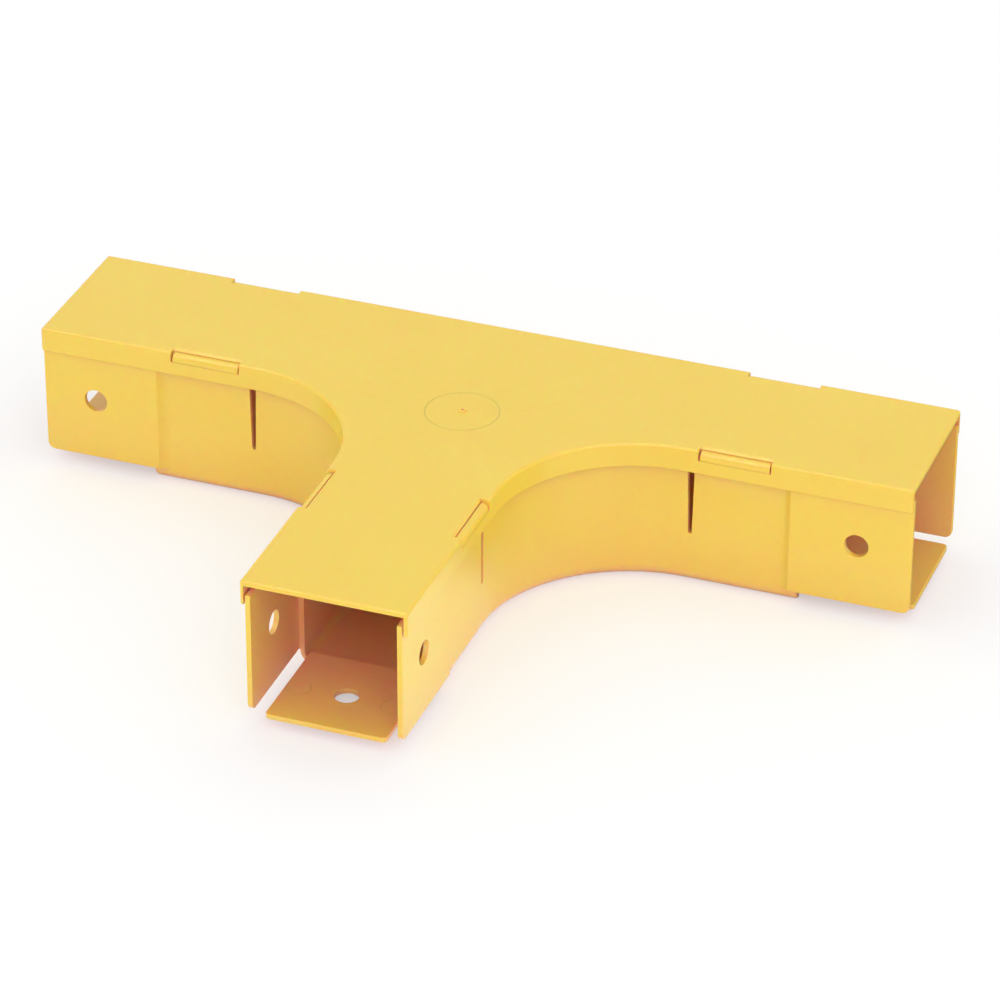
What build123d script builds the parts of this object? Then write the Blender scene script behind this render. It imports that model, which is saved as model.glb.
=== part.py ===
from build123d import *
import math
import os

os.makedirs("parts", exist_ok=True)

# Trunking tee: a channel base with three equal open ends, and a cover that snaps over it.
# Millimetres. The arms run along X, the stem runs toward -Y and +Z is up.
# The origin is on the base's underside, where the centre lines of the arms and the stem cross.

# Channel section
duct_width = 48.4  # clear width inside the base
duct_height = 53.1  # from the floor up to the cover
wall = 1.9  # the base's walls, floor and tongues
inner_corner_radius = 3.1  # between floor and wall, on the inside

# Each limb from the centre outward: sweep, slit, catch, shoulder, tongues
bend_radius = 50.8  # inside corner of the cover, the least bend of the cables it carries
slit_past_sweep = 2.0
window_past_slit = 3.5
window_length = 26.6
ramp_past_window = 4.2
ramp_length = 2.6  # where the wall steps out into the side tongues
ramp_foot_round = 4.5  # the wall bends into the step
stop_land = 2.7  # thick wall behind the face that stops the next duct
stop_round = 0.8  # outer edge of that face, below the side tongues
tongue_length = 41.6

# Slits that let the walls flex as the cover snaps on
slit_top_width = 2.9
slit_foot_width = 1.4
slit_foot_height = 20.4

# Tongues at the open ends
tongue_play = 0.05  # between a side tongue and the duct that slides in beside it
floor_tongue_lift = 3.8
floor_tongue_inset = 2.2  # how much narrower than the duct, on each side
floor_tongue_round = 1.8
side_tongue_drop = 3.6  # from the cover's underside down to the tongue
side_tongue_round = 2.8  # lower corner of its end

edge_round = 0.3  # softened edges of the tongues and hooks

# Fastener holes in the tongues
hole_diameter = 8.8
hole_from_end = 20.0
side_hole_height = 29.4

# Cover
cover_thickness = 1.8
skirt_thickness = 1.4
skirt_depth = 7.5  # below the cover's underside
skirt_play = 0.55  # between the skirt and the side tongues
cover_edge_round = 1.2  # round the plate, and down the skirt's corners at the open ends
skirt_lip_round = 0.5
rest_play = 0.05  # between the walls' tops and the cover

# Catches: a hook on the wall reaches out over the sill of a window in the skirt
sill_depth = 2.2  # from the cover's underside down to the window's sill
hook_end_play = 0.6
hook_sill_play = 0.08
hook_back_play = 0.45
hook_thickness = 2.5
hook_setback = 0.1  # from the skirt's face in to the hook's face
hook_sink = 1.0  # from the cover's top down to the hook's top
hook_round = 2.0  # the skirt rides over this as the cover goes on
notch_bevel_width = 0.75  # the cover's edge slopes down to the hook
notch_bevel_depth = 0.8

# Gate scar: a low boss where the cover was filled, with a pit where the runner broke off
gate_from_crossing = 32.5  # toward the stem's end
gate_diameter = 2.8
gate_height = 0.5
gate_round = 0.25
gate_pit_diameter = 1.1
gate_pit_depth = 0.6

overcut = 1.0  # how far a cutting shape runs past what it cuts

# Half widths, from the duct outward
duct_half = duct_width / 2
shell_half = duct_half + wall
tongue_inner = shell_half + tongue_play
tongue_outer = tongue_inner + wall
skirt_inner = tongue_outer + skirt_play
cover_half = skirt_inner + skirt_thickness
floor_tongue_half = duct_half - floor_tongue_inset

# Distances from the centre, along each limb
sweep_centre = cover_half + bend_radius
slit_place = sweep_centre + slit_past_sweep
window_start = slit_place + window_past_slit
window_end = window_start + window_length
ramp_start = window_end + ramp_past_window
ramp_end = ramp_start + ramp_length
shoulder = ramp_end + stop_land
reach = shoulder + tongue_length
hole_place = reach - hole_from_end
hook_start = window_start + hook_end_play
hook_length = window_length - 2 * hook_end_play

# Heights
cover_underside = wall + duct_height
cover_top = cover_underside + cover_thickness
wall_top = cover_underside - rest_play
skirt_bottom = cover_underside - skirt_depth
floor_tongue_top = floor_tongue_lift + wall
side_tongue_bottom = floor_tongue_top
side_tongue_top = cover_underside - side_tongue_drop
sill = cover_underside - sill_depth
hook_bottom = sill + hook_sill_play
hook_top = cover_top - hook_sink

# Catch section, across the wall
hook_face = cover_half - hook_setback
hook_back = hook_face - hook_thickness
notch_foot = hook_back - hook_back_play
notch_edge = notch_foot - notch_bevel_width


def tee_block(half_width, end, bottom, top):
    """Solid tee whose inside corners sweep about two shared centres."""
    sweep = sweep_centre - half_width
    with BuildPart() as block:
        with BuildSketch(Plane.XY.offset(bottom)):
            with BuildLine():
                Polyline(
                    (-sweep_centre, -half_width),
                    (-end, -half_width),
                    (-end, half_width),
                    (end, half_width),
                    (end, -half_width),
                    (sweep_centre, -half_width),
                )
                CenterArc((sweep_centre, -sweep_centre), sweep, 90, 90)
                Polyline(
                    (half_width, -sweep_centre),
                    (half_width, -end),
                    (-half_width, -end),
                    (-half_width, -sweep_centre),
                )
                CenterArc((-sweep_centre, -sweep_centre), sweep, 0, 90)
            make_face()
        extrude(amount=top - bottom)
    return block.part


def limb_distance(edge):
    """How far out along its limb the middle of an edge lies."""
    middle = edge.center()
    return max(abs(middle.X), -middle.Y)


def wall_edges(tee, end):
    """Edges of a tee along its walls, not across its open ends."""
    return tee.edges().filter_by(lambda edge: limb_distance(edge) < end - 0.01)


def end_edges(tee, end):
    """Edges of a tee that lie in the planes of its open ends."""
    return tee.edges().filter_by(lambda edge: limb_distance(edge) > end - 0.01)


def broad_face_edges(tongue, thickness_axis):
    """Edges round a tongue's two broad faces, past the stop that the next duct meets."""
    past_stop = tongue.edges().filter_by(lambda edge: edge.center().X > shoulder + 0.01)
    return past_stop - past_stop.filter_by(thickness_axis)


# Shapes that repeat on the three limbs are drawn on the one that points along +X.

with BuildPart() as floor_tongue:
    ramp_foot = shoulder - floor_tongue_lift
    mitre = wall * math.tan(math.radians(45 / 2))
    with BuildSketch(Plane.XZ):
        with BuildLine():
            Polyline(
                (ramp_foot, 0),
                (ramp_foot, wall),
                (shoulder, floor_tongue_top),
                (reach, floor_tongue_top),
                (reach, floor_tongue_lift),
                (shoulder + mitre, floor_tongue_lift),
                (ramp_foot + mitre, 0),
                close=True,
            )
        make_face()
    extrude(amount=floor_tongue_half, both=True)
    fillet(floor_tongue.edges().filter_by(Axis.Z).group_by(Axis.X)[-1], floor_tongue_round)
    fillet(broad_face_edges(floor_tongue, Axis.Z), edge_round)
    with BuildSketch(Plane.XY):
        with Locations((hole_place, 0)):
            Circle(hole_diameter / 2)
    extrude(amount=floor_tongue_top + overcut, mode=Mode.SUBTRACT)

with BuildPart() as side_tongues:
    with BuildSketch(Plane.XY.offset(side_tongue_bottom)) as tongue_section:
        with BuildLine():
            Polyline(
                (ramp_start - ramp_foot_round, duct_half),
                (ramp_start - ramp_foot_round, shell_half),
                (ramp_start, shell_half),
                (ramp_end, tongue_outer),
                (reach, tongue_outer),
                (reach, tongue_inner),
                (shoulder, tongue_inner),
                (shoulder, duct_half),
                close=True,
            )
        make_face()
        ramp_foot_corner = tongue_section.vertices().group_by(Axis.Y)[1].sort_by(Axis.X)[1]
        fillet(ramp_foot_corner, ramp_foot_round)
        mirror(about=Plane.XZ)
    extrude(amount=side_tongue_top - side_tongue_bottom)
    tongue_end_edges = side_tongues.edges().filter_by(Axis.Y).group_by(Axis.X)[-1]
    fillet(tongue_end_edges.group_by(Axis.Z)[0], side_tongue_round)
    fillet(broad_face_edges(side_tongues, Axis.Y), edge_round)
    with BuildSketch(Plane.XZ):
        with Locations((hole_place, side_hole_height)):
            Circle(hole_diameter / 2)
    extrude(amount=tongue_outer + overcut, both=True, mode=Mode.SUBTRACT)

with BuildPart() as hooks:
    with BuildSketch(Plane.YZ.offset(hook_start)) as hook_section:
        with BuildLine():
            Polyline(
                (duct_half, hook_bottom),
                (hook_face, hook_bottom),
                (hook_face, hook_top),
                (hook_back, hook_top),
                (hook_back, wall_top),
                (duct_half, wall_top),
                close=True,
            )
        make_face()
        fillet(hook_section.vertices().group_by(Axis.Y)[-1].sort_by(Axis.X)[-1], hook_round)
        mirror(about=Plane.YZ)
    extrude(amount=hook_length)
    end_face_edges = hooks.edges().filter_by(Axis.X, reverse=True)
    outer_edges = end_face_edges.filter_by(lambda edge: abs(edge.center().Y) > hook_back)
    fillet(outer_edges.filter_by(lambda edge: edge.center().Z > hook_bottom + 0.01), edge_round)

with BuildPart() as slits:
    slit_foot_half = slit_foot_width / 2
    with BuildSketch(Plane.XZ):
        with BuildLine():
            Polyline(
                (slit_place - slit_top_width / 2, wall_top),
                (slit_place - slit_foot_half, slit_foot_height + slit_foot_half),
                (slit_place + slit_foot_half, slit_foot_height + slit_foot_half),
                (slit_place + slit_top_width / 2, wall_top),
                close=True,
            )
        make_face()
        with Locations((slit_place, slit_foot_height + slit_foot_half)):
            Circle(slit_foot_half)
    extrude(amount=shell_half + overcut, both=True)

# The floor gives way to the ramp that lifts the floor tongue.
with BuildPart() as ramp_gap:
    with BuildSketch(Plane.XZ):
        with BuildLine():
            Polyline(
                (ramp_foot, -overcut),
                (ramp_foot, wall + overcut),
                (shoulder + overcut, wall + overcut),
                (shoulder + overcut, -overcut),
                close=True,
            )
        make_face()
    extrude(amount=floor_tongue_half, both=True)

with BuildPart() as shell:
    add(tee_block(shell_half, shoulder, 0, wall_top))
    fillet(wall_edges(shell, shoulder).group_by(Axis.Z)[0], inner_corner_radius + wall)
    stop_outline = end_edges(shell, shoulder) - shell.edges().group_by(Axis.Z)[-1]
    fillet(stop_outline, stop_round)

with BuildPart() as duct:
    duct_end = shoulder + overcut
    add(tee_block(duct_half, duct_end, wall, wall_top + overcut))
    fillet(wall_edges(duct, duct_end).group_by(Axis.Z)[0], inner_corner_radius)

with BuildPart() as tee_base:
    add(shell.part)
    add(duct.part, mode=Mode.SUBTRACT)
    with PolarLocations(0, 3, start_angle=180, angular_range=180, endpoint=True):
        add(slits.part, mode=Mode.SUBTRACT)
        add(ramp_gap.part, mode=Mode.SUBTRACT)
        add(floor_tongue.part)
        add(side_tongues.part)
        add(hooks.part)

tee_base.part.label = "tee_base"
export_step(tee_base.part, "parts/tee_base.step")

# A window takes a step out of the skirt, and the cover's edge slopes down behind the hook.
with BuildPart() as windows:
    with BuildSketch(Plane.YZ.offset(window_start)):
        with BuildLine():
            Polyline(
                (notch_foot, sill),
                (cover_half + overcut, sill),
                (cover_half + overcut, cover_top + overcut),
                (notch_edge, cover_top + overcut),
                (notch_edge, cover_top),
                (notch_foot, cover_top - notch_bevel_depth),
                close=True,
            )
        make_face()
        mirror(about=Plane.YZ)
    extrude(amount=window_length)

with BuildPart() as tee_cover:
    add(tee_block(cover_half, reach, skirt_bottom, cover_top))
    fillet(end_edges(tee_cover, reach).filter_by(Axis.Z), cover_edge_round)
    fillet(tee_cover.edges().group_by(Axis.Z)[-1], cover_edge_round)
    fillet(tee_cover.edges().group_by(Axis.Z)[0], skirt_lip_round)
    add(tee_block(skirt_inner, reach + overcut, skirt_bottom - overcut, cover_underside), mode=Mode.SUBTRACT)
    with PolarLocations(0, 3, start_angle=180, angular_range=180, endpoint=True):
        add(windows.part, mode=Mode.SUBTRACT)
    with Locations((0, -gate_from_crossing, cover_top)):
        Cylinder(gate_diameter / 2, gate_height, align=(Align.CENTER, Align.CENTER, Align.MIN))
        fillet(tee_cover.edges().group_by(Axis.Z)[-1], gate_round)
    with Locations((0, -gate_from_crossing, cover_top + gate_height)):
        Cylinder(
            gate_pit_diameter / 2,
            gate_pit_depth,
            align=(Align.CENTER, Align.CENTER, Align.MAX),
            mode=Mode.SUBTRACT,
        )

tee_cover.part.label = "tee_cover"
export_step(tee_cover.part, "parts/tee_cover.step")
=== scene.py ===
import math

import bmesh
import bpy
from bpy.props import FloatProperty, FloatVectorProperty, IntProperty, PointerProperty
from mathutils import Matrix, Vector


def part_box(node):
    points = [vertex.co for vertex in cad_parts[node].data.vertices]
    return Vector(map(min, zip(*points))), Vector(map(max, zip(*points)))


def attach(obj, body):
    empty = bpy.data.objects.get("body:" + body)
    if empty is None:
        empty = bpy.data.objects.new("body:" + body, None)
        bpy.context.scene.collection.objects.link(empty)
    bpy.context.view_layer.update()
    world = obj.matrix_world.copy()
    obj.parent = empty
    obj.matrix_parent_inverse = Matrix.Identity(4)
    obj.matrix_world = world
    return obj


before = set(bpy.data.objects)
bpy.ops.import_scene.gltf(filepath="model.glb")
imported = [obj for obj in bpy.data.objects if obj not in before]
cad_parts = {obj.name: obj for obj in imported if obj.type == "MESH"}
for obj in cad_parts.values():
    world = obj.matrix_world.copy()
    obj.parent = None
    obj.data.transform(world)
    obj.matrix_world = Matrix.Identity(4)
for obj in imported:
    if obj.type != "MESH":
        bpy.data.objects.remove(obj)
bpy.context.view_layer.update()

bl_info = {
    "name": "Trunking tee",
    "version": (1, 0, 0),
    "blender": (4, 5, 0),
    "location": "3D View > Sidebar > Trunking Tee",
    "description": "Finishes and marks a two-piece trunking tee, and lights it on a white floor",
    "category": "Object",
}

# Metres. The arms run along X, the stem runs toward -Y and +Z is up, as in the frame.
MM = 0.001
BASE_LOW, BASE_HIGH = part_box("tee_base")
REACH = BASE_HIGH.x  # from the crossing to each open end
FLOOR_TONGUE_TOP = 5.7 * MM
GATE_HEIGHT = 0.5 * MM  # how far the gate scar stands above the cover's plate
GATE_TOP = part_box("tee_cover")[1].z
COVER_TOP = GATE_TOP - GATE_HEIGHT
RING_LINE_SEGMENTS = 8  # round the section of a ring's raised line

# The plastic
PLASTIC_IOR = 1.5
DEPTH_BY_COLOUR = (1.0, 0.10, 0.02)  # how far red, green and blue light travel, next to red
PIGMENT_THICK, PIGMENT_THIN = 0.36, 0.64  # noise from which, and to which, the pigment pales
SHEEN_LOW, SHEEN_HIGH = 0.3, 0.7  # noise from which, and to which, the skin grows duller
OPEN_TO_SKY, PAINTED_SHADE_FULL = 0.36, 0.05  # open sky at which the painted shade starts to deepen the colour, and is full
SHELTER_SAMPLES, EDGE_SAMPLES = 2, 4  # rays that look for open sky for the painted shade, and for softened edges
MIX_SHARE, MIX_FIRST, MIX_SECOND, MIX_RESULT = 0, 6, 7, 2  # sockets of a Mix node for colours

# The floor and the sky
STUDIO_HALF = 6.0  # half the side of the floor
STUDIO_DROP = 0.05 * MM  # the floor lies just under the base
SEEN_WHITE = 0.55  # the floor's own colour for the camera
SEEN_LIFT = 0.45  # light added to it, so that it shows white and keeps a soft shadow
PAINTED_REFLECTION_FRONT, PAINTED_REFLECTION_REAR = 1.45, 0.3  # painted reflection: the floor's brightness in the plastic's reflections only, above white in front
FRONT_FROM, REAR_FROM = -60.0 * MM, -20.0 * MM  # Y at which the first ends and the second starts
GLOW = 3.0  # how much brighter the plastic mirrors the sky high up in front
GLOW_FROM_HEIGHT, GLOW_FULL_HEIGHT = 0.58, 0.72  # Z of a direction where it sets in, and is full
GLOW_FROM_REAR, GLOW_FULL_FRONT = 0.25, -0.05  # and the same for Y

# The lamp and the camera
LAMP_PLACE = (0.65, -1.45, 1.15)
LAMP_SIZE = (1.2, 0.8)  # width and height
MIDDLE = (0.0, -0.05, 0.03)  # the point that the lamp faces
SENSOR_WIDTH = 36.0  # millimetres
NEAREST_SEEN, FURTHEST_SEEN = 0.01, 50.0


class MouldedFinish(bpy.types.PropertyGroup):
    """Colour, gloss and surface of the yellow plastic."""

    colour: FloatVectorProperty(
        name="Plastic colour",
        description="Colour of the pigment where the melt flowed evenly",
        subtype="COLOR",
        size=3,
        min=0.0,
        max=1.0,
        default=(0.845, 0.605, 0.070),
    )
    pale_colour: FloatVectorProperty(
        name="Pale streak colour",
        description="Colour of the thin streaks and clouds where the pigment is spread thinner",
        subtype="COLOR",
        size=3,
        min=0.0,
        max=1.0,
        default=(0.860, 0.630, 0.081),
    )
    # Painted shade: the colour that the plastic is mixed toward where walls close off the sky
    painted_shade_colour: FloatVectorProperty(
        name="Deep colour",
        description="Colour inside the duct, where light grows redder from wall to wall",
        subtype="COLOR",
        size=3,
        min=0.0,
        max=1.0,
        default=(0.995, 0.430, 0.370),
    )
    # How far the painted shade looks for walls that close off the sky
    painted_shade_reach: FloatProperty(
        name="Shelter reach",
        description="How far away a wall still counts as closing off the sky",
        unit="LENGTH",
        default=70.0 * MM,
    )
    roughness: FloatProperty(
        name="Roughness",
        description="Mean roughness of the satin skin",
        subtype="FACTOR",
        min=0.0,
        max=1.0,
        default=0.22,
    )
    roughness_spread: FloatProperty(
        name="Roughness spread",
        description="How far the roughness strays from its mean",
        subtype="FACTOR",
        min=0.0,
        max=0.5,
        default=0.08,
    )
    depth: FloatProperty(
        name="Light depth",
        description="How far red light travels inside the plastic; green and blue travel less",
        unit="LENGTH",
        default=0.5 * MM,
    )
    grain_size: FloatProperty(
        name="Grain size",
        description="Size of the fine grain that the mould's spark-eroded face leaves",
        unit="LENGTH",
        default=0.45 * MM,
    )
    grain_height: FloatProperty(
        name="Grain height",
        description="Height of the fine grain",
        unit="LENGTH",
        default=0.004 * MM,
    )
    wave_size: FloatProperty(
        name="Wave size",
        description="Length of the slow waves that shrinkage leaves in the flat walls",
        unit="LENGTH",
        default=38.0 * MM,
    )
    wave_height: FloatProperty(
        name="Wave height",
        description="Height of the slow waves",
        unit="LENGTH",
        default=0.10 * MM,
    )
    cloud_size: FloatProperty(
        name="Cloud size",
        description="Size of the faint clouds in the pigment",
        unit="LENGTH",
        default=55.0 * MM,
    )
    streak_count: FloatProperty(
        name="Streak count",
        description="How closely the flow streaks fan out from the gate, in waves per radian",
        default=6.0,
    )
    streak_length: FloatProperty(
        name="Streak length",
        description="Length of one flow streak, away from the gate",
        unit="LENGTH",
        default=110.0 * MM,
    )
    streak_share: FloatProperty(
        name="Streak share",
        description="How much of the pigment's unevenness is in streaks; the rest is in clouds",
        subtype="FACTOR",
        min=0.0,
        max=1.0,
        default=0.4,
    )
    sheen_size: FloatProperty(
        name="Sheen patch size",
        description="Size of the patches in which the skin is a little more or less glossy",
        unit="LENGTH",
        default=12.0 * MM,
    )
    edge_softness: FloatProperty(
        name="Edge softness",
        description="Radius to which the sharp moulded edges look worn",
        unit="LENGTH",
        default=0.22 * MM,
    )


class MouldMarks(bpy.types.PropertyGroup):
    """Faint rings that the mould's inserts and ejector pins leave."""

    insert_radius: FloatProperty(
        name="Insert radius",
        description="Radius of the ring round the gate on the cover",
        unit="LENGTH",
        default=13.25 * MM,
    )
    insert_from_crossing: FloatProperty(
        name="Insert from crossing",
        description="Distance of the gate insert from the crossing, toward the stem's end",
        unit="LENGTH",
        default=32.8 * MM,
    )
    pin_radius: FloatProperty(
        name="Pin radius",
        description="Radius of the rings that the ejector pins leave",
        unit="LENGTH",
        default=4.4 * MM,
    )
    pin_from_end: FloatProperty(
        name="Pin from end",
        description="Distance of the tongue's pin marks from the open end",
        unit="LENGTH",
        default=19.0 * MM,
    )
    pin_spacing: FloatProperty(
        name="Pin spacing",
        description="Distance between the two pin marks of a floor tongue",
        unit="LENGTH",
        default=34.6 * MM,
    )
    line_width: FloatProperty(
        name="Line width",
        description="Width of a ring's raised line",
        unit="LENGTH",
        default=0.26 * MM,
    )
    line_height: FloatProperty(
        name="Line height",
        description="Height of a ring's raised line, half of it sunk in the plastic",
        unit="LENGTH",
        default=0.03 * MM,
    )
    ring_segments: IntProperty(
        name="Ring segments",
        description="Straight pieces that make up one ring",
        min=12,
        max=256,
        default=96,
    )


class StudioSettings(bpy.types.PropertyGroup):
    """Camera, floor, sky and lamp."""

    azimuth: FloatProperty(
        name="Azimuth",
        description="How far the camera stands round from the stem's end, toward the right arm",
        subtype="ANGLE",
        default=math.radians(20.10),
    )
    elevation: FloatProperty(
        name="Elevation",
        description="Height of the camera above the floor, as an angle",
        subtype="ANGLE",
        default=math.radians(31.03),
    )
    roll: FloatProperty(
        name="Roll",
        description="Turn of the camera about its own line of sight",
        subtype="ANGLE",
        default=math.radians(0.21),
    )
    distance: FloatProperty(
        name="Distance",
        description="From the camera to the point that it looks at",
        unit="LENGTH",
        default=1.7917,
    )
    focal_length: FloatProperty(
        name="Focal length",
        description="Focal length of the lens, on a sensor 36 mm wide",
        unit="CAMERA",
        default=179.29,
    )
    aim_height: FloatProperty(
        name="Aim height",
        description="Height above the underside of the point from which the aim is offset",
        unit="LENGTH",
        default=26.8 * MM,
    )
    aim_right: FloatProperty(
        name="Aim right",
        description="Offset of the aim to the right in the picture",
        unit="LENGTH",
        default=2.04 * MM,
    )
    aim_up: FloatProperty(
        name="Aim up",
        description="Offset of the aim upward in the picture",
        unit="LENGTH",
        default=-21.32 * MM,
    )
    floor_colour: FloatVectorProperty(
        name="Floor colour",
        description="Colour in which the floor lights the plastic from below",
        subtype="COLOR",
        size=3,
        min=0.0,
        max=1.0,
        default=(0.90, 0.90, 0.90),
    )
    zenith_strength: FloatProperty(
        name="Zenith strength",
        description="Soft light from straight above",
        default=0.88,
    )
    horizon_strength: FloatProperty(
        name="Horizon strength",
        description="Soft light from all round, low down, which reaches into the open ends",
        default=1.12,
    )
    lamp_power: FloatProperty(
        name="Lamp power",
        description="Power of the one large lamp, in front of the tee and above it",
        unit="POWER",
        default=5.6,
    )


def new_nodes(tree):
    """Empties a node tree and returns a function that adds a node with its settings and inputs."""
    tree.nodes.clear()

    def add(kind, inputs=None, **settings):
        node = tree.nodes.new(kind)
        for name, value in settings.items():
            setattr(node, name, value)
        for name, value in (inputs or {}).items():
            if isinstance(value, bpy.types.NodeSocket):
                tree.links.new(value, node.inputs[name])
            else:
                node.inputs[name].default_value = value
        return node

    return add


def rgba(colour):
    """A colour with full alpha."""
    return (*colour, 1.0)


def grey(level):
    """A neutral colour with full alpha."""
    return (level, level, level, 1.0)


def maths(add, operation, first, second):
    """One operation on two values."""
    return add("ShaderNodeMath", {0: first, 1: second}, operation=operation).outputs[0]


def noise(add, place, size, detail, roughness):
    """Noise whose clouds are about as long as size."""
    texture = add(
        "ShaderNodeTexNoise",
        {"Vector": place, "Scale": 1.0 / size, "Detail": detail, "Roughness": roughness},
    )
    return texture.outputs["Fac"]


def map_range(add, value, low, high, at_low=0.0, at_high=1.0):
    """Turns low into at_low and high into at_high, evenly between them and held past them."""
    mapped = add(
        "ShaderNodeMapRange",
        {"Value": value, "From Min": low, "From Max": high, "To Min": at_low, "To Max": at_high},
    )
    return mapped.outputs["Result"]


def mix_colours(add, share, first, second):
    """A colour that goes from the first to the second as share goes from 0 to 1."""
    mixed = add(
        "ShaderNodeMix",
        {MIX_SHARE: share, MIX_FIRST: first, MIX_SECOND: second},
        data_type="RGBA",
    )
    return mixed.outputs[MIX_RESULT]


def raised(add, height, distance, normal):
    """A surface normal tilted by a height."""
    bump = add(
        "ShaderNodeBump",
        {"Strength": 1.0, "Distance": distance, "Height": height, "Normal": normal},
    )
    return bump.outputs["Normal"]


def moulded_plastic(name, gate, lets_light_in=True):
    """Satin yellow plastic with clouded pigment, flow streaks from the gate, grain and waves, and
    painted shade.
    """
    finish = bpy.context.scene.tee_finish
    material = bpy.data.materials.new(name)
    material.use_nodes = True
    add = new_nodes(material.node_tree)
    place = add("ShaderNodeTexCoord").outputs["Object"]

    # The streaks are noise over the bearing from the gate and the distance to it.
    from_gate = add("ShaderNodeVectorMath", {0: place, 1: gate}, operation="SUBTRACT").outputs[0]
    apart = add("ShaderNodeSeparateXYZ", {0: from_gate}).outputs
    bearing = maths(add, "ARCTAN2", apart["Y"], apart["X"])
    distance = add("ShaderNodeVectorMath", {0: from_gate}, operation="LENGTH").outputs["Value"]
    flow_place = add(
        "ShaderNodeCombineXYZ",
        {
            0: maths(add, "MULTIPLY", bearing, finish.streak_count),
            1: maths(add, "DIVIDE", distance, finish.streak_length),
        },
    )
    streaks = noise(add, flow_place.outputs[0], size=1.0, detail=3.0, roughness=0.55)
    clouds = noise(add, place, finish.cloud_size, detail=3.0, roughness=0.5)
    spread = add("ShaderNodeMix", {"Factor": finish.streak_share, "A": clouds, "B": streaks})
    paleness = map_range(add, spread.outputs["Result"], PIGMENT_THICK, PIGMENT_THIN)
    open_colour = mix_colours(add, paleness, rgba(finish.colour), rgba(finish.pale_colour))

    # Painted shade: where little sky is open, inside the duct, the base colour is mixed toward a
    # deeper, redder colour.
    sky = add(
        "ShaderNodeAmbientOcclusion", {"Distance": finish.painted_shade_reach}, samples=SHELTER_SAMPLES
    )
    painted_shade_share = map_range(add, sky.outputs["AO"], OPEN_TO_SKY, PAINTED_SHADE_FULL)
    colour = mix_colours(add, painted_shade_share, open_colour, rgba(finish.painted_shade_colour))

    sheen_patches = noise(add, place, finish.sheen_size, detail=4.0, roughness=0.6)
    half_spread = finish.roughness_spread / 2
    roughness = map_range(
        add,
        sheen_patches,
        SHEEN_LOW,
        SHEEN_HIGH,
        finish.roughness - half_spread,
        finish.roughness + half_spread,
    )

    waves = noise(add, place, finish.wave_size, detail=1.0, roughness=0.4)
    grain = noise(add, place, finish.grain_size, detail=2.0, roughness=0.5)
    soft_edges = add("ShaderNodeBevel", {"Radius": finish.edge_softness}, samples=EDGE_SAMPLES)
    waved = raised(add, waves, finish.wave_height, soft_edges.outputs["Normal"])
    grained = raised(add, grain, finish.grain_height, waved)

    skin = add(
        "ShaderNodeBsdfPrincipled",
        {
            "Base Color": colour,
            "Roughness": roughness,
            "IOR": PLASTIC_IOR,
            "Subsurface Weight": 1.0 if lets_light_in else 0.0,
            "Subsurface Radius": DEPTH_BY_COLOUR,
            "Subsurface Scale": finish.depth,
            "Normal": grained,
        },
    )
    add("ShaderNodeOutputMaterial", {"Surface": skin.outputs["BSDF"]})
    return material


def scene_object(name, data):
    """A new object that stands in the scene."""
    thing = bpy.data.objects.new(name, data)
    bpy.context.scene.collection.objects.link(thing)
    return thing


def dress_node(node_name, material):
    """Puts one material on every slot of a CAD node."""
    if node_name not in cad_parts:
        raise RuntimeError(f"The frame has no node called {node_name}.")
    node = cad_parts[node_name]
    for slot in node.material_slots:
        slot.material = material


def ring_tree():
    """Geometry Nodes: a raised ring on each point, as wide as the point's ring_radius says."""
    tree = bpy.data.node_groups.new("mould_rings", "GeometryNodeTree")
    inputs = {
        "Centres": "Geometry",
        "Line width": "Float",
        "Line height": "Float",
        "Ring segments": "Int",
        "Line segments": "Int",
        "Plastic": "Material",
    }
    for name, kind in inputs.items():
        tree.interface.new_socket(name, in_out="INPUT", socket_type="NodeSocket" + kind)
    tree.interface.new_socket("Rings", in_out="OUTPUT", socket_type="NodeSocketGeometry")
    add = new_nodes(tree)
    given = add("NodeGroupInput").outputs
    radius = add("GeometryNodeInputNamedAttribute", {"Name": "ring_radius"}, data_type="FLOAT")
    unit_ring = add(
        "GeometryNodeCurvePrimitiveCircle", {"Resolution": given["Ring segments"], "Radius": 1.0}
    )
    placed = add(
        "GeometryNodeInstanceOnPoints",
        {
            "Points": given["Centres"],
            "Instance": unit_ring.outputs["Curve"],
            "Scale": radius.outputs["Attribute"],
        },
    )
    rings = add("GeometryNodeRealizeInstances", {"Geometry": placed.outputs["Instances"]})
    one_wide = add(
        "GeometryNodeCurvePrimitiveCircle", {"Resolution": given["Line segments"], "Radius": 0.5}
    )
    line_size = add(
        "ShaderNodeCombineXYZ", {"X": given["Line width"], "Y": given["Line height"], "Z": 1.0}
    )
    line = add(
        "GeometryNodeTransform",
        {"Geometry": one_wide.outputs["Curve"], "Scale": line_size.outputs["Vector"]},
    )
    upright = add("GeometryNodeSetCurveNormal", {"Curve": rings.outputs["Geometry"]}, mode="Z_UP")
    swept = add(
        "GeometryNodeCurveToMesh",
        {"Curve": upright.outputs["Curve"], "Profile Curve": line.outputs["Geometry"]},
    )
    smooth = add("GeometryNodeSetShadeSmooth", {"Geometry": swept.outputs["Mesh"]})
    whole = add("GeometryNodeRealizeInstances", {"Geometry": smooth.outputs["Geometry"]})
    finished = add(
        "GeometryNodeSetMaterial",
        {"Geometry": whole.outputs["Geometry"], "Material": given["Plastic"]},
    )
    add("NodeGroupOutput", {"Rings": finished.outputs["Geometry"]})
    return tree


def plain_mesh(carrier, name):
    """The evaluated result of an object's modifiers as a plain object; the carrier is removed."""
    depsgraph = bpy.context.evaluated_depsgraph_get()
    mesh = bpy.data.meshes.new_from_object(carrier.evaluated_get(depsgraph))
    if not mesh.polygons:
        raise RuntimeError(f"{name} came out without faces.")
    mesh.name = name
    bpy.data.objects.remove(carrier)
    work = bmesh.new()
    work.from_mesh(mesh)
    bmesh.ops.recalc_face_normals(work, faces=work.faces)
    work.to_mesh(mesh)
    work.free()
    return scene_object(name, mesh)


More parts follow.
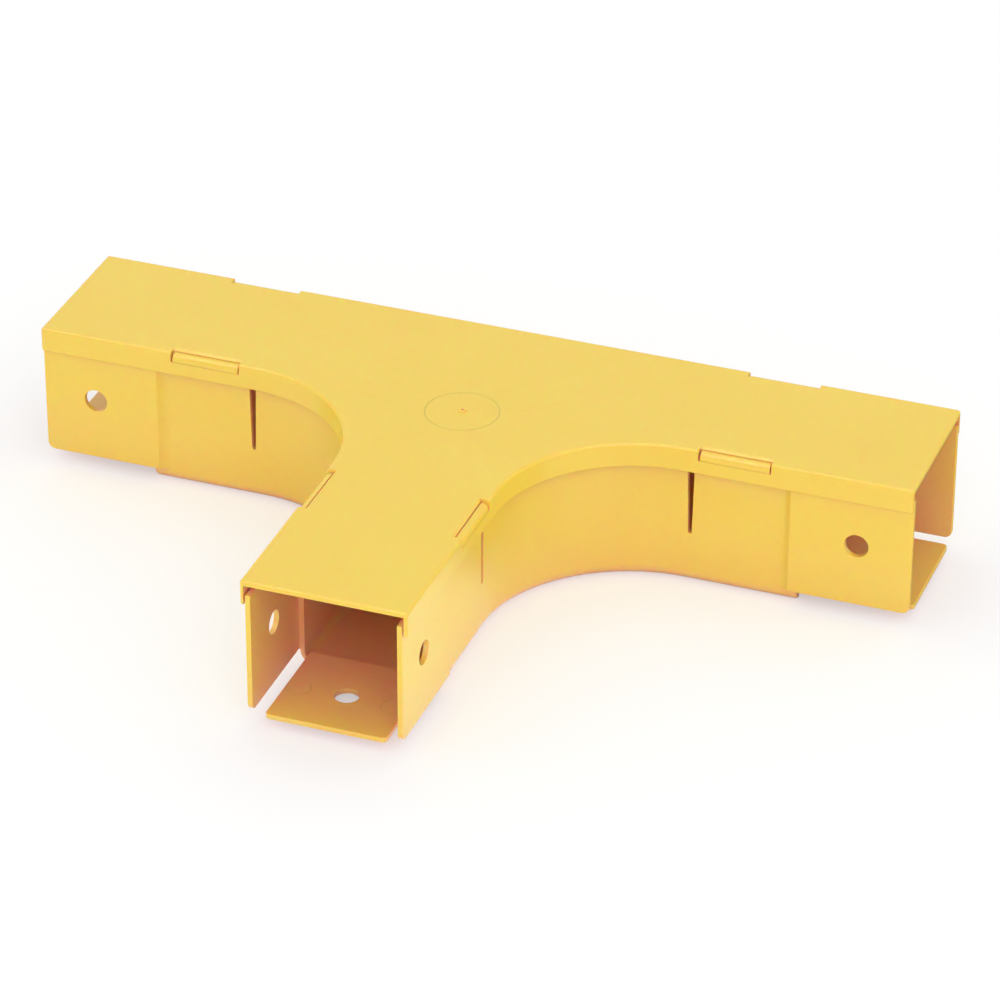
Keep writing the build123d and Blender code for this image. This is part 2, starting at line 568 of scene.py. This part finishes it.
def mould_rings(name, body, rings):
    """One mesh of raised rings on a body; rings is a list of (centre, radius)."""
    marks = bpy.context.scene.tee_marks
    thin_line_plastic = moulded_plastic(name, rings[0][0], lets_light_in=False)
    mesh = bpy.data.meshes.new(name + "_centres")
    mesh.from_pydata([centre for centre, radius in rings], [], [])
    radii = mesh.attributes.new("ring_radius", "FLOAT", "POINT")
    radii.data.foreach_set("value", [radius for centre, radius in rings])
    carrier = scene_object(name + "_centres", mesh)
    tree = ring_tree()
    modifier = carrier.modifiers.new("rings", "NODES")
    modifier.node_group = tree
    values = {
        "Line width": marks.line_width,
        "Line height": marks.line_height,
        "Ring segments": marks.ring_segments,
        "Line segments": RING_LINE_SEGMENTS,
        "Plastic": thin_line_plastic,
    }
    for item in tree.interface.items_tree:
        if item.in_out == "INPUT" and item.name in values:
            modifier[item.identifier] = values[item.name]
    piece = plain_mesh(carrier, name)
    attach(piece, body)


def limb_points(along, across):
    """The same place on all three limbs: so far out along the limb and so far to its side."""
    return [(along, across), (-along, across), (across, -along)]


class TEE_OT_finish_base(bpy.types.Operator):
    """Gives the channel base its moulded plastic"""

    bl_idname = "trunking_tee.finish_base"
    bl_label = "Finish the base"

    def execute(self, context):
        gate_under_crossing = (0.0, 0.0, 0.0)
        dress_node("tee_base", moulded_plastic("base_plastic", gate_under_crossing))
        return {"FINISHED"}


class TEE_OT_finish_cover(bpy.types.Operator):
    """Gives the cover its moulded plastic"""

    bl_idname = "trunking_tee.finish_cover"
    bl_label = "Finish the cover"

    def execute(self, context):
        marks = context.scene.tee_marks
        gate_on_cover = (0.0, -marks.insert_from_crossing, GATE_TOP)
        dress_node("tee_cover", moulded_plastic("cover_plastic", gate_on_cover))
        return {"FINISHED"}


class TEE_OT_mark_cover(bpy.types.Operator):
    """Raises the gate insert's ring on the cover"""

    bl_idname = "trunking_tee.mark_cover"
    bl_label = "Mark the cover"

    def execute(self, context):
        marks = context.scene.tee_marks
        centre = (0.0, -marks.insert_from_crossing, COVER_TOP)
        mould_rings("gate_insert_ring", "cover", [(centre, marks.insert_radius)])
        return {"FINISHED"}


class TEE_OT_mark_base(bpy.types.Operator):
    """Raises the ejector pins' rings on the floor tongues"""

    bl_idname = "trunking_tee.mark_base"
    bl_label = "Mark the base"

    def execute(self, context):
        marks = context.scene.tee_marks
        along = REACH - marks.pin_from_end
        half_spacing = marks.pin_spacing / 2
        places = limb_points(along, half_spacing) + limb_points(along, -half_spacing)
        rings = [((x, y, FLOOR_TONGUE_TOP), marks.pin_radius) for x, y in places]
        mould_rings("ejector_pin_rings", "base", rings)
        return {"FINISHED"}


def studio_floor(settings):
    """White floor. The camera sees it lifted; the plastic mirrors it painted bright in front, dim
    behind.
    """
    material = bpy.data.materials.new("studio_white")
    material.use_nodes = True
    add = new_nodes(material.node_tree)
    paper = add("ShaderNodeBsdfDiffuse", {"Color": rgba(settings.floor_colour)}).outputs[0]
    seen_paper = add("ShaderNodeBsdfDiffuse", {"Color": grey(SEEN_WHITE)}).outputs[0]
    lift = add("ShaderNodeEmission", {"Color": grey(1.0), "Strength": SEEN_LIFT}).outputs[0]
    lifted = add("ShaderNodeAddShader", {0: seen_paper, 1: lift}).outputs[0]
    place = add("ShaderNodeSeparateXYZ", {0: add("ShaderNodeTexCoord").outputs["Object"]})
    # Painted reflection: in the plastic's gloss the floor glows brighter than white in front and
    # is dim behind
    painted_reflection_brightness = map_range(
        add, place.outputs["Y"], FRONT_FROM, REAR_FROM, PAINTED_REFLECTION_FRONT, PAINTED_REFLECTION_REAR
    )
    painted_reflection_floor = add("ShaderNodeBsdfDiffuse", {"Color": painted_reflection_brightness}).outputs[0]
    path = add("ShaderNodeLightPath").outputs
    reflected = add("ShaderNodeMixShader", {0: path["Is Glossy Ray"], 1: paper, 2: painted_reflection_floor})
    seen = add(
        "ShaderNodeMixShader", {0: path["Is Camera Ray"], 1: reflected.outputs[0], 2: lifted}
    )
    add("ShaderNodeOutputMaterial", {"Surface": seen.outputs[0]})

    level = BASE_LOW.z - STUDIO_DROP
    corners = [(-1, -1), (1, -1), (1, 1), (-1, 1)]
    points = [(x * STUDIO_HALF, y * STUDIO_HALF, level) for x, y in corners]
    mesh = bpy.data.meshes.new("studio_floor")
    mesh.from_pydata(points, [], [(0, 1, 2, 3)])
    mesh.materials.append(material)
    floor = scene_object("studio_floor", mesh)


def studio_sky(settings):
    """Soft light from all round. It looks plain white, and its high front glows in reflections."""
    world = bpy.data.worlds.new("studio_sky")
    world.use_nodes = True
    add = new_nodes(world.node_tree)
    path = add("ShaderNodeLightPath").outputs
    direction = add("ShaderNodeSeparateXYZ", {0: add("ShaderNodeTexCoord").outputs["Generated"]})
    height = direction.outputs["Z"]
    looked_at = maths(add, "MAXIMUM", path["Is Camera Ray"], path["Is Glossy Ray"])
    seen = maths(add, "MAXIMUM", looked_at, path["Is Transmission Ray"])
    soft = map_range(add, height, 0.0, 1.0, settings.horizon_strength, settings.zenith_strength)
    strength = map_range(add, seen, 0.0, 1.0, soft, 1.0)
    high = map_range(add, height, GLOW_FROM_HEIGHT, GLOW_FULL_HEIGHT, 0.0, GLOW)
    in_front = map_range(add, direction.outputs["Y"], GLOW_FROM_REAR, GLOW_FULL_FRONT)
    glow = maths(add, "MULTIPLY", high, in_front)
    mirrored_glow = maths(add, "MULTIPLY", glow, path["Is Glossy Ray"])
    total = maths(add, "ADD", strength, mirrored_glow)
    sky = add("ShaderNodeBackground", {"Color": grey(1.0), "Strength": total})
    add("ShaderNodeOutputWorld", {"Surface": sky.outputs[0]})
    bpy.context.scene.world = world


def studio_lamp(settings):
    """One large rectangular lamp in front of the tee, above the height of the camera."""
    lamp = bpy.data.lights.new("studio_lamp", "AREA")
    lamp.shape = "RECTANGLE"
    lamp.size, lamp.size_y = LAMP_SIZE
    lamp.energy = settings.lamp_power
    toward = Vector(MIDDLE) - Vector(LAMP_PLACE)
    turn = toward.to_track_quat("-Z", "Y").to_matrix().to_4x4()
    scene_object("studio_lamp", lamp).matrix_world = Matrix.Translation(LAMP_PLACE) @ turn


def photo_camera(settings):
    """The camera at the photograph's viewing angle."""
    azimuth, elevation, roll = settings.azimuth, settings.elevation, settings.roll
    back = Vector(
        (
            math.sin(azimuth) * math.cos(elevation),
            -math.cos(azimuth) * math.cos(elevation),
            math.sin(elevation),
        )
    )
    level_right = Vector((math.cos(azimuth), math.sin(azimuth), 0.0))
    level_up = back.cross(level_right)
    right = math.cos(roll) * level_right + math.sin(roll) * level_up
    up = math.cos(roll) * level_up - math.sin(roll) * level_right
    aim = Vector((0.0, 0.0, settings.aim_height))
    aim += settings.aim_right * right + settings.aim_up * up
    camera = bpy.data.cameras.new("photo_camera")
    camera.sensor_fit = "HORIZONTAL"
    camera.sensor_width = SENSOR_WIDTH
    camera.lens = settings.focal_length
    camera.clip_start = NEAREST_SEEN
    camera.clip_end = FURTHEST_SEEN
    holder = scene_object("photo_camera", camera)
    turn = Matrix((right, up, back)).transposed().to_4x4()
    holder.matrix_world = Matrix.Translation(aim + settings.distance * back) @ turn
    bpy.context.scene.camera = holder


class TEE_OT_studio(bpy.types.Operator):
    """Sets up the floor, the light and the camera"""

    bl_idname = "trunking_tee.studio"
    bl_label = "Set up the studio"

    def execute(self, context):
        settings = context.scene.tee_studio
        studio_floor(settings)
        studio_sky(settings)
        studio_lamp(settings)
        photo_camera(settings)
        context.scene.view_settings.view_transform = "Standard"
        return {"FINISHED"}


class TEE_PT_panel(bpy.types.Panel):
    """Lists the steps that dress the tee"""

    bl_idname = "TEE_PT_panel"
    bl_label = "Trunking Tee"
    bl_space_type = "VIEW_3D"
    bl_region_type = "UI"
    bl_category = "Trunking Tee"

    def draw(self, context):
        for operator in OPERATORS:
            self.layout.operator(operator.bl_idname)


OPERATORS = (
    TEE_OT_finish_base,
    TEE_OT_finish_cover,
    TEE_OT_mark_cover,
    TEE_OT_mark_base,
    TEE_OT_studio,
)
SETTINGS = {"tee_finish": MouldedFinish, "tee_marks": MouldMarks, "tee_studio": StudioSettings}
CLASSES = (*SETTINGS.values(), *OPERATORS, TEE_PT_panel)


def register():
    """Makes the settings, operators and panel known to Blender."""
    for cls in CLASSES:
        bpy.utils.register_class(cls)
    for name, group in SETTINGS.items():
        setattr(bpy.types.Scene, name, PointerProperty(type=group))


def unregister():
    """Takes them out again."""
    for name in SETTINGS:
        delattr(bpy.types.Scene, name)
    for cls in reversed(CLASSES):
        bpy.utils.unregister_class(cls)


def main():
    """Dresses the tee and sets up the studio."""
    register()
    bpy.ops.trunking_tee.finish_base()
    bpy.ops.trunking_tee.finish_cover()
    bpy.ops.trunking_tee.mark_cover()
    bpy.ops.trunking_tee.mark_base()
    bpy.ops.trunking_tee.studio()


if __name__ == "__main__":
    main()
